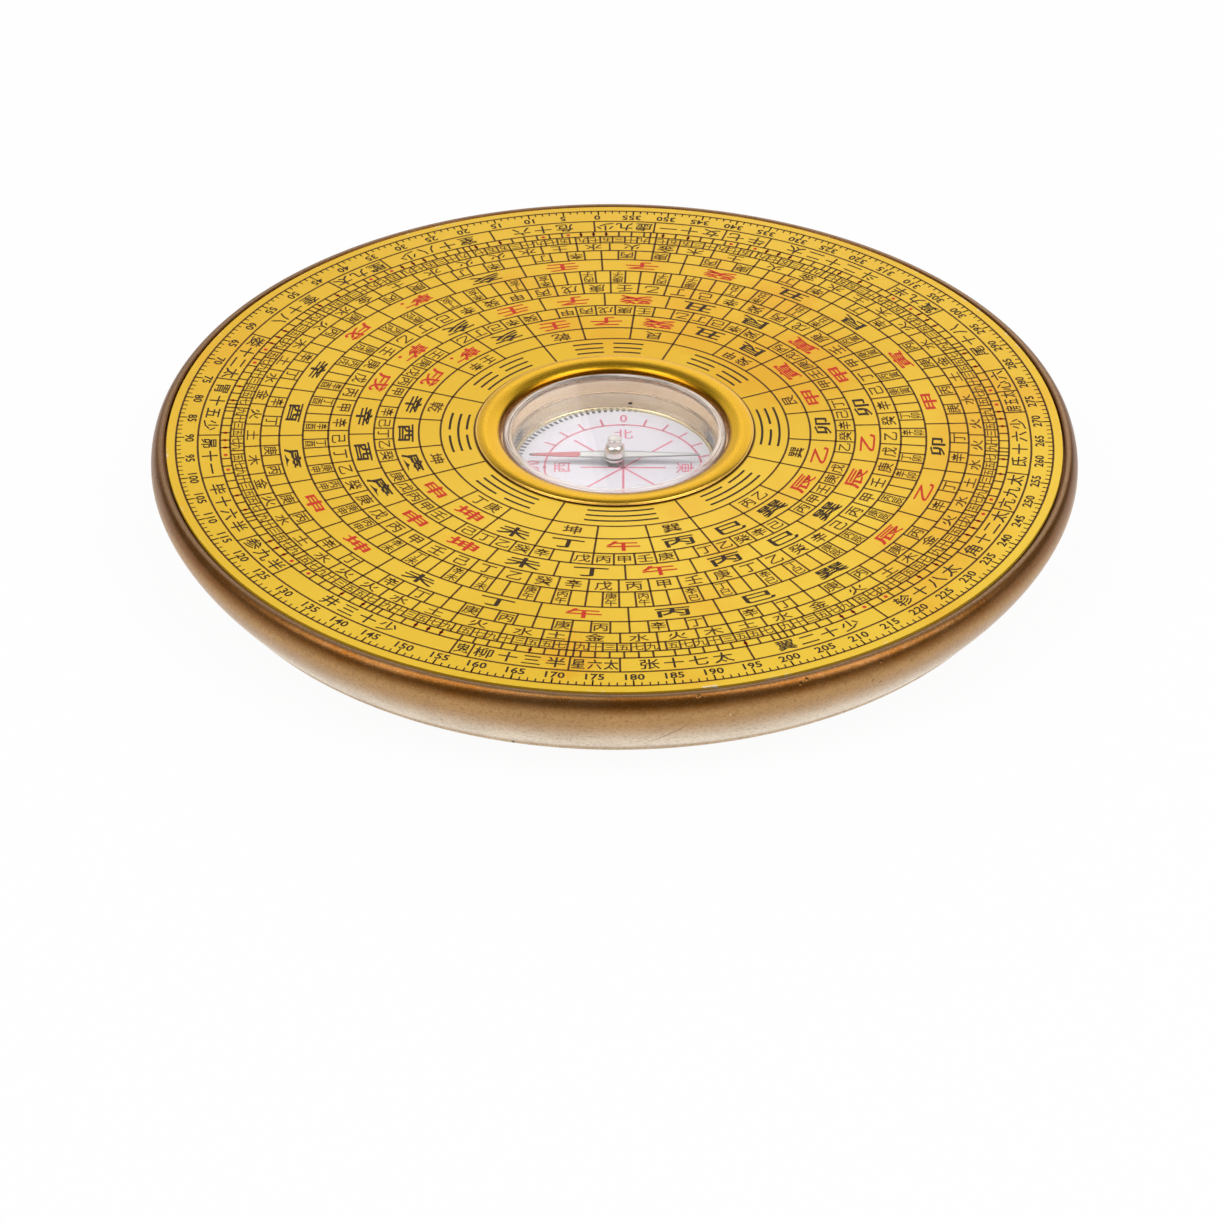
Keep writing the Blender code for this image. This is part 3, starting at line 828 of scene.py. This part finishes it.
def letter(text, bold):
    """Points and triangles of a text in Blender's own typeface, in units of its size."""
    if (text, bold) not in LETTERS:
        curve = bpy.data.curves.new("letter", "FONT")
        curve.body = text
        curve.resolution_u = 2
        curve.offset = bold
        holder = bpy.data.objects.new("letter", curve)
        bpy.context.scene.collection.objects.link(holder)
        evaluated = holder.evaluated_get(bpy.context.evaluated_depsgraph_get())
        mesh = bpy.data.meshes.new_from_object(evaluated)
        mesh.calc_loop_triangles()
        points = np.zeros(len(mesh.vertices) * 3)
        mesh.vertices.foreach_get("co", points)
        faces = np.zeros(len(mesh.loop_triangles) * 3, int)
        mesh.loop_triangles.foreach_get("vertices", faces)
        LETTERS[text, bold] = points.reshape(-1, 3)[:, :2], faces.reshape(-1, 3)
        bpy.data.objects.remove(holder)
        bpy.data.curves.remove(curve)
        bpy.data.meshes.remove(mesh)
    return LETTERS[text, bold]


def letter_box(text, bold):
    """Lowest and highest corner of a text."""
    points, _ = letter(text, bold)
    return points.min(0), points.max(0)


class Sheet:
    """Flat printed shapes in several inks, gathered as points and triangles in one plane.

    Degrees count from +Y towards -X. Signs stand with their tops towards the centre, or outward.
    """

    def __init__(self, level, centre=(0.0, 0.0), turn=0.0, outward=False):
        self.level = level
        self.centre = np.array(centre)
        self.turn = math.radians(turn)
        self.outward = outward
        self.inks = {}

    def add(self, ink_name, points, faces):
        """Adds points, and triangles that number them from 0."""
        points_so_far, faces_so_far = self.inks.setdefault(ink_name, ([], []))
        first = sum(len(p) for p in points_so_far)
        points_so_far.append(points)
        faces_so_far.append(np.asarray(faces).reshape(-1, 3) + first)

    def polar(self, radius, degrees):
        """Points at a radius, at these degrees."""
        a = np.radians(degrees) + self.turn
        return np.stack([self.centre[0] - radius * np.sin(a), self.centre[1] + radius * np.cos(a)], -1)

    def bars(self, ink_name, degrees, inner, outer, width=LINE):
        """Straight radial lines, one at each of the given degrees."""
        degrees = np.atleast_1d(np.asarray(degrees, float))
        a = np.radians(degrees) + self.turn
        side = np.stack([np.cos(a), np.sin(a)], -1) * width / 2
        low, high = self.polar(inner, degrees), self.polar(outer, degrees)
        points = np.stack([low - side, low + side, high + side, high - side], 1).reshape(-1, 2)
        first = np.arange(len(degrees))[:, None] * 4
        self.add(ink_name, points, np.concatenate([first + [0, 1, 2], first + [0, 2, 3]]))

    def cell_lines(self, count, start, ring):
        """The lines between even cells, of which the first is centred on start."""
        self.bars("brown", start + 360.0 / count * (np.arange(count) + 0.5), *ring)

    def band(self, ink_name, start, end, radius, width, steps=None):
        """A line of even width along a circle, from start to end degrees."""
        steps = steps or max(2, round(abs(end - start) / 1.5))
        degrees = np.linspace(start, end, steps + 1)
        rails = self.polar(radius - width / 2, degrees), self.polar(radius + width / 2, degrees)
        points = np.stack(rails, 1).reshape(-1, 2)
        first = np.arange(steps)[:, None] * 2
        self.add(ink_name, points, np.concatenate([first + [0, 3, 1], first + [0, 2, 3]]))

    def dot(self, ink_name, radius, degrees, size):
        """A filled round dot of twelve sides."""
        a = np.linspace(0.0, math.tau, 12, endpoint=False)
        points = self.polar(radius, degrees) + size * np.stack([np.cos(a), np.sin(a)], 1)
        self.add(ink_name, points, np.stack([np.zeros(10, int), np.arange(1, 11), np.arange(2, 12)], 1))

    def shape(self, ink_name, unit, faces, radius, degrees, size):
        """A unit outline, stretched to a size and placed."""
        a = math.radians(degrees) + self.turn
        up = np.array([math.sin(a), -math.cos(a)]) * (-1 if self.outward else 1)
        across = np.array([up[1], -up[0]])
        placed = np.outer(unit[:, 0] * size[0], across) + np.outer(unit[:, 1] * size[1], up)
        self.add(ink_name, self.polar(radius, degrees) + placed, faces)

    def sign(self, ink_name, sign, radius, degrees, size, bold=SMALL_BOLD):
        """One sign, stretched so that a full square sign has this width and height."""
        points, faces = letter(sign, bold)
        low, high = letter_box(FULL_SIGN, bold)
        unit = (points - (low + high) / 2) / (high - low)
        self.shape(ink_name, unit, faces, radius, degrees, size)

    def number(self, ink_name, text, radius, degrees, height, bold, spread):
        """Digits of this height, centred on their place."""
        points, faces = letter(text, bold)
        low, high = letter_box(text, bold)
        digit_low, digit_high = letter_box("0", bold)
        unit = (points - (low + high) / 2) / (digit_high[1] - digit_low[1])
        self.shape(ink_name, unit, faces, radius, degrees, (height * spread, height))

    def make(self, prefix, inks):
        """One mesh for each ink, its triangles all facing up."""
        for ink_name, (point_lists, face_lists) in self.inks.items():
            flat, faces = np.concatenate(point_lists), np.concatenate(face_lists)
            a, b, c = (flat[faces[:, i]] for i in range(3))
            area = (b[:, 0] - a[:, 0]) * (c[:, 1] - a[:, 1]) - (b[:, 1] - a[:, 1]) * (c[:, 0] - a[:, 0])
            faces[area < 0] = faces[area < 0][:, ::-1]
            faces = faces[np.abs(area) > 1e-13]
            points = np.column_stack([flat, np.full(len(flat), self.level)])
            printed = mesh_object(prefix + "_" + ink_name, points, faces.tolist())
            dress(printed, inks[ink_name], HOUSING)


# Dial print: traditional rings from the centre outwards, each given by its inner and outer radius

DIRECTIONS = "子癸丑艮寅甲卯乙辰巽巳丙午丁未坤申庚酉辛戌乾亥壬"
RED_DIRECTIONS = "子癸寅甲乙辰午坤申戌乾壬"
BRANCHES = "子丑寅卯辰巳午未申酉戌亥"
STEMS = "甲乙丙丁戊己庚辛壬癸"
TRIGRAMS = ("000", "001", "010", "011", "111", "110", "101", "100")
TRIGRAM_SHARE = 0.369
TRIGRAM_PITCH_SHARE = 0.0193
TRIGRAM_REACH = 12.7
TRIGRAM_BREAK = 1.9
HOUSE_SIDES = ("艮乾", "乾坤", "坤巽", "巽艮")
HOUSE_PAIRS = ("壬辛", "丁庚", "丙乙", "癸甲")
ELEMENTS = "火水土金水火木土水金火土木金火水土水火"
ELEMENT_WIDTHS = (8.0, 6.0, 4.0, 7.5, 5.5, 6.0, 5.0, 5.5, 6.0, 6.5)
ELEMENT_START = 153.0
STEP_NUMERALS = "五七九十三五五七九十三五七九"
STEP_START = 155.0
DOT_PLACES = (1, 3, 5, 9, 16, 20, 29)
SPARSE_DOTS = {150: (1, 3, 16), 180: (16,)}
DOT_RADIUS = 0.44 * MM
MANSIONS = "角亢氐房心尾箕斗牛女虚危室壁奎娄胃昴毕参井鬼柳星张翼轸"
MANSION_QUARTERS = (
    51, 39, 65, 23, 24, 72, 38, 91, 28, 44, 37, 64, 73, 39,
    72, 51, 61, 44, 66, 38, 121, 10, 54, 27, 71, 81, 75,
)
MANSION_START = 234.4
NUMERALS = "十一二三四五六七八九"
QUARTER_SIGNS = ("", "少", "半", "太")
NUMBER_SHARE = 0.9485
NUMBER_SHIFT = 0.2
RING_SHARES = (
    0.3895, 0.438, 0.495, 0.538, 0.594, 0.640, 0.6965,
    0.749, 0.791, 0.8275, 0.858, 0.8805, 0.930, 0.979,
)


def print_trigrams(sheet, ring):
    """Eight figures of three lines, whole or broken; a figure's first digit is its outermost line."""
    sheet.cell_lines(8, 0.0, ring)
    for k, figure in enumerate(TRIGRAMS):
        for row, line in enumerate(figure):
            radius = (TRIGRAM_SHARE - TRIGRAM_PITCH_SHARE * row) * PLATE_RADIUS
            gap = 0.0 if line == "1" else TRIGRAM_BREAK
            for side in (-1, 1):
                start, end = 45.0 * k + side * gap, 45.0 * k + side * TRIGRAM_REACH
                sheet.band("black", start, end, radius, 0.5 * MM)


def print_houses(sheet, ring):
    """A thin ring of 24 cells with single signs beside the four main bearings and pairs between."""
    middle = sum(ring) / 2
    sheet.cell_lines(24, 0.0, ring)
    for k in range(4):
        for side, sign in zip((-1, 1), HOUSE_SIDES[k]):
            sheet.sign("brown", sign, middle, 90.0 * k + 15.0 * side, (3.6 * MM, 2.9 * MM))
        for side, sign in zip((-1, 1), HOUSE_PAIRS[k]):
            sheet.sign("brown", sign, middle, 90.0 * k + 45.0 + 2.8 * side, (2.9 * MM, 2.9 * MM))


def print_directions(sheet, ring, shift, size):
    """The 24 directions, clockwise from +Y, turned by shift degrees."""
    sheet.cell_lines(24, shift, ring)
    for k, sign in enumerate(DIRECTIONS):
        colour = "red" if sign in RED_DIRECTIONS else "black"
        sheet.sign(colour, sign, sum(ring) / 2, shift - 15.0 * k, size, bold=DIRECTION_BOLD)


def print_stems(sheet, ring, first, blanks, size):
    """Twelve groups of five stems, clockwise, each followed by any blank cells."""
    group = 5 + blanks
    step = 360.0 / (12 * group)
    sheet.cell_lines(12 * group, first, ring)
    for k in range(12):
        for i in range(5):
            place = first - step * (group * k + i)
            sheet.sign("brown", STEMS[(k + 2 * i) % 10], sum(ring) / 2, place, size)


def print_pairs(sheet, ring, shift, doubled, size):
    """120 cells of 3 degrees, of which the second and fourth of each direction's five have signs.

    A doubled sign is a stem with a branch outside it.
    """
    sheet.cell_lines(120, shift, ring)
    middle = sum(ring) / 2
    for k in range(24):
        zone = k // 2
        for side, stem in zip((1, -1), "丁辛" if zone % 2 else "丙庚"):
            place = shift - 15.0 * k + 3.0 * side
            apart = 0.54 * size[1] if doubled else 0.0
            sheet.sign("brown", stem, middle - apart, place, size)
            if doubled:
                sheet.sign("brown", BRANCHES[zone], middle + apart, place, size)


def print_elements(sheet, ring):
    """Cells of uneven width, each with one element's sign."""
    place = ELEMENT_START
    for i in range(6 * len(ELEMENT_WIDTHS)):
        width = ELEMENT_WIDTHS[i % len(ELEMENT_WIDTHS)]
        sheet.bars("brown", place, *ring)
        sign = ELEMENTS[i % len(ELEMENTS)]
        sheet.sign("brown", sign, sum(ring) / 2, place + width / 2, (3.5 * MM, 2.5 * MM))
        place += width


def print_steps(sheet, ring, dot_ring):
    """Numerals in cells of 2 degrees, and dots in the ring outside them.

    In each 30 degrees eight cells and six more follow each other, with a thin one after each run. The
    lines in the dots' ring stand a degree further on than the first run's, and a degree back from the
    second run's.
    """
    for turn in range(12):
        start = STEP_START + 30.0 * turn
        first_run, second_run = start + 2.0 * np.arange(9), start + 17.0 + 2.0 * np.arange(7)
        sheet.bars("brown", np.concatenate([first_run, second_run]), *ring)
        sheet.bars("brown", np.concatenate([first_run + 1.0, second_run - 1.0]), *dot_ring)
        middles = np.concatenate([first_run[:-1], second_run[:-1]]) + 1.0
        for place, sign in zip(middles, STEP_NUMERALS):
            sheet.sign("brown", sign, sum(ring) / 2, place, (2.1 * MM, 2.1 * MM))
        for dot in SPARSE_DOTS.get(30 * turn, DOT_PLACES):
            sheet.dot("red", sum(dot_ring) / 2, 30.0 * turn + dot, DOT_RADIUS)


def numeral(quarters):
    """A count of quarters in words: tens, ones, then the fraction's own sign."""
    whole, part = divmod(quarters, 4)
    tens, ones = divmod(whole, 10)
    words = (NUMERALS[tens] if tens > 1 else "") + (NUMERALS[0] if tens else "")
    return words + (NUMERALS[ones] if ones else "") + QUARTER_SIGNS[part]


def print_mansions(sheet, ring):
    """27 cells as wide as their named counts, with a sign and, where it fits, the count in words."""
    scale = 360.0 / sum(MANSION_QUARTERS)
    middle = sum(ring) / 2
    place = MANSION_START
    for sign, quarters in zip(MANSIONS, MANSION_QUARTERS):
        width = quarters * scale
        sheet.bars("brown", place, *ring)
        text = sign + numeral(quarters) if width > 4.0 else sign
        pitch = min(3.3, width / (len(text) + 0.1))
        wide = math.radians(min(0.8 * pitch, 2.4)) * middle
        for i, word in enumerate(text):
            at = place + width / 2 + pitch * (i - (len(text) - 1) / 2)
            sheet.sign("black", word, middle, at, (wide, 3.2 * MM))
        place += width


def print_degrees(sheet, outer):
    """Ticks every degree, longer every 5, standing inward from the outer line, and the numbers."""
    ones = np.arange(360.0)
    sheet.bars("black", ones, outer - 1.1 * MM, outer, 0.28 * MM)
    sheet.bars("black", ones[::5], outer - 1.8 * MM, outer, 0.34 * MM)
    radius = NUMBER_SHARE * PLATE_RADIUS
    for place in range(0, 360, 5):
        at = place + NUMBER_SHIFT
        sheet.number("black", str(place), radius, at, 2.0 * MM, bold=0.022, spread=1.12)


def print_dial():
    """All the rings of the dial plate."""
    sheet = Sheet(PLATE_TOP + PRINT_LIFT)
    circles = [share * PLATE_RADIUS for share in RING_SHARES]
    rings = list(zip(circles, circles[1:]))
    for radius in circles:
        sheet.band("brown", 0.0, 360.0, radius, LINE, 360)
    print_trigrams(sheet, (PLATE_HOLE, circles[0]))
    print_houses(sheet, rings[0])
    print_directions(sheet, rings[1], 0.0, (6.4 * MM, 3.4 * MM))
    print_stems(sheet, rings[2], 10.0, 1, (3.0 * MM, 2.6 * MM))
    print_directions(sheet, rings[3], 7.5, (6.7 * MM, 3.4 * MM))
    print_stems(sheet, rings[4], 19.5, 0, (3.2 * MM, 3.0 * MM))
    print_pairs(sheet, rings[5], 0.0, True, (2.2 * MM, 2.2 * MM))
    print_directions(sheet, rings[6], -7.5, (6.8 * MM, 3.1 * MM))
    print_pairs(sheet, rings[7], -7.5, False, (2.9 * MM, 2.7 * MM))
    print_elements(sheet, rings[8])
    print_steps(sheet, rings[9], rings[10])
    print_mansions(sheet, rings[11])
    print_degrees(sheet, circles[-1])
    inks = {
        "brown": ink("ink_brown", (0.085, 0.032, 0.003)),
        "black": ink("ink_black", (0.040, 0.018, 0.005)),
        "red": ink("ink_red", (0.56, 0.035, 0.010)),
    }
    sheet.make("dial_print", inks)


# Card print

CARD_TURN = -2.5
CARD_PRINT_CENTRE = np.array([1.9, -1.77]) * MM
CARD_LINE = 0.46 * MM
CARD_CIRCLE = 16.75 * MM
DASH_START = 22.1 * MM
DASH_LENGTH = 1.2 * MM


def print_card():
    """A circle with ticks, numbers and signs at its quarters, a star, and dashes at the card's edge.

    The print is turned with the card and sits off its middle.
    """
    c, s = math.cos(math.radians(CARD_TURN)), math.sin(math.radians(CARD_TURN))
    x, y = CARD_PRINT_CENTRE
    sheet = Sheet(CARD_TOP + PRINT_LIFT, (x * c - y * s, x * s + y * c), CARD_TURN, outward=True)
    quarters = np.arange(4) * 90.0
    ticks = np.arange(24) * 15.0
    sheet.band("pink", 0.0, 360.0, CARD_CIRCLE, CARD_LINE, 180)
    sheet.bars("pink", ticks[ticks % 90 > 0], CARD_CIRCLE, CARD_CIRCLE + 2.7 * MM, CARD_LINE)
    sheet.bars("pink", quarters, CARD_CIRCLE - 0.4 * MM, CARD_CIRCLE + 0.4 * MM, CARD_LINE)
    sheet.bars("pink", quarters + 45.0, 0.0, 14.9 * MM, CARD_LINE)
    sheet.bars("pink", quarters, 0.0, 9.1 * MM, CARD_LINE)
    for k, sign in enumerate("北東南西"):
        at = -90.0 * k
        sheet.sign("pink", sign, 13.0 * MM, at, (3.6 * MM, 3.6 * MM), bold=0.006)
        sheet.number("pink", str(90 * k), 19.3 * MM, at, 3.0 * MM, bold=0.02, spread=0.85)
    print_dashes(sheet)
    inks = {
        "pink": ink("ink_pink", (0.50, 0.105, 0.165)),
        "black": ink("ink_soot", (0.035, 0.030, 0.040)),
    }
    sheet.make("card_print", inks)


def print_dashes(sheet):
    """108 short dashes round the print's own centre, each cut at the card's edge.

    Its edge lies at -c.u + sqrt(R^2 - |c|^2 + (c.u)^2) along a direction u, c being the print's centre.
    """
    degrees = np.arange(108) * 10.0 / 3
    edge = CARD_RADIUS - 0.05 * MM
    direction = sheet.polar(1.0, degrees) - sheet.centre
    along = direction @ sheet.centre
    reached = -along + np.sqrt(edge ** 2 - sheet.centre @ sheet.centre + along ** 2)
    for place, end in zip(degrees, np.minimum(reached, DASH_START + DASH_LENGTH)):
        if end > DASH_START:
            middle, length = (DASH_START + end) / 2, end - DASH_START
            sheet.band("black", place - 0.85, place + 0.85, middle, length, 2)


def mark_cover():
    """A small black index dot on the cover."""
    sheet = Sheet(COVER_TOP + COVER_SHEET_LIFT)
    sheet.dot("black", 11.7 * MM, CARD_TURN - math.degrees(math.atan2(3.3, 11.2)), 0.5 * MM)
    sheet.make("cover_mark", {"black": ink("ink_dot", (0.02, 0.018, 0.016))})


# Stage, light and camera

WHITE = (1.0, 1.0, 1.0)
WORLD_LIGHT = 0.12
FLOOR_RADIUS = 4.0
FLOOR_DROP = 0.1 * MM
FLOOR_WHITE = 0.95

CAMERA_BEARING = 2.5
CAMERA_ELEVATION = 32.58
CAMERA_DISTANCE = 0.9506
CAMERA_LENS = 131.54
CAMERA_ROLL = 0.319
CAMERA_TILT = -2.332
CAMERA_PAN = 0.040

# Each lamp's place, its width and height, and its power
LAMPS = {
    "left": ((-0.72, -0.28, 1.1), (0.8, 1.3), 11.6),
    "right": ((0.72, -0.28, 1.1), (0.8, 1.3), 12.0),
    "back_left": ((-0.52, 1.35, 0.62), (1.1, 1.1), 2.2),
    "back_right": ((0.49, 1.35, 0.62), (1.1, 1.1), 3.4),
}


def make_camera():
    """The camera looks at the middle of the plate, then is rolled, tilted and panned to the frame."""
    bearing, elevation = math.radians(CAMERA_BEARING), math.radians(CAMERA_ELEVATION)
    level = Vector((-math.sin(bearing), -math.cos(bearing), 0.0))
    back = level * math.cos(elevation) + Vector((0.0, 0.0, math.sin(elevation)))
    data = bpy.data.cameras.new("camera")
    data.sensor_width = 36.0
    data.lens = CAMERA_LENS
    camera = bpy.data.objects.new("camera", data)
    camera.location = Vector((0.0, 0.0, PLATE_TOP)) + back * CAMERA_DISTANCE
    turn = (-back).to_track_quat("-Z", "Y")
    for axis, degrees in (((0, 0, 1), CAMERA_ROLL), ((1, 0, 0), CAMERA_TILT), ((0, 1, 0), CAMERA_PAN)):
        turn = turn @ Quaternion(axis, math.radians(degrees))
    camera.rotation_mode = "QUATERNION"
    camera.rotation_quaternion = turn
    bpy.context.scene.collection.objects.link(camera)
    bpy.context.scene.camera = camera


def make_stage():
    """A wide floor that keeps a soft shadow, and shows nearly white to eye, gloss and clear plastic."""
    f = Finish("floor", Base_Color=(0.80, 0.80, 0.80), Roughness=0.9)
    seen = f.node("LightPath", {}, out="Is Camera Ray")
    for ray in ("Is Glossy Ray", "Is Transmission Ray"):
        seen = seen.math("MAXIMUM", f.node("LightPath", {}, out=ray))
    f.show(seen * FLOOR_WHITE, f.node("Emission", {}, Color=WHITE, Strength=1.0), "Material Output")
    a = np.linspace(0.0, math.tau, 96, endpoint=False)
    flat = FLOOR_RADIUS * np.stack([np.cos(a), np.sin(a)], 1)
    points = np.column_stack([flat, np.full(len(a), -FLOOR_DROP)])
    piece = mesh_object("floor", points, [tuple(range(len(a)))])
    piece.data.materials.append(f.material)


def make_world():
    """Grey surroundings, seen as white only by the camera."""
    world = bpy.data.worlds.new("surroundings")
    bpy.context.scene.world = world
    world.use_nodes = True
    w = Nodes(world.node_tree, "Background")
    w.set(Color=WHITE, Strength=WORLD_LIGHT)
    white = w.node("Background", {}, Color=WHITE, Strength=1.0)
    w.show(w.node("LightPath", {}, out="Is Camera Ray"), white, "World Output")


def make_lamps():
    """Rectangular soft lamps that face the compass."""
    for name, (place, size, power) in LAMPS.items():
        data = bpy.data.lights.new(name, "AREA")
        data.shape = "RECTANGLE"
        data.size, data.size_y = size
        data.energy = power
        lamp = bpy.data.objects.new(name, data)
        lamp.location = place
        lamp.rotation_mode = "QUATERNION"
        lamp.rotation_quaternion = (-Vector(place)).to_track_quat("-Z", "Y")
        bpy.context.scene.collection.objects.link(lamp)


bpy.context.scene.view_settings.view_transform = "Standard"
make_camera()
make_stage()
make_world()
make_lamps()
make_body()
make_plate()
make_bezel()
make_clear_parts()
make_card()
make_pin()
make_haze()
make_hub()
make_blade()
print_dial()
print_card()
mark_cover()

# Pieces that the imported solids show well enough, and that only get a finish
for node, finish in (
    ("plate_adhesive", tape("film", (0.72, 0.66, 0.50), (0.85, 0.80, 0.66), 900.0)),
    ("capsule_pad", tape("pad", (0.78, 0.76, 0.72), (0.90, 0.88, 0.85), 2200.0)),
    ("needle_jewel", jewel_glass()),
):
    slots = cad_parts[node].data.materials
    slots.clear()
    slots.append(finish.material)
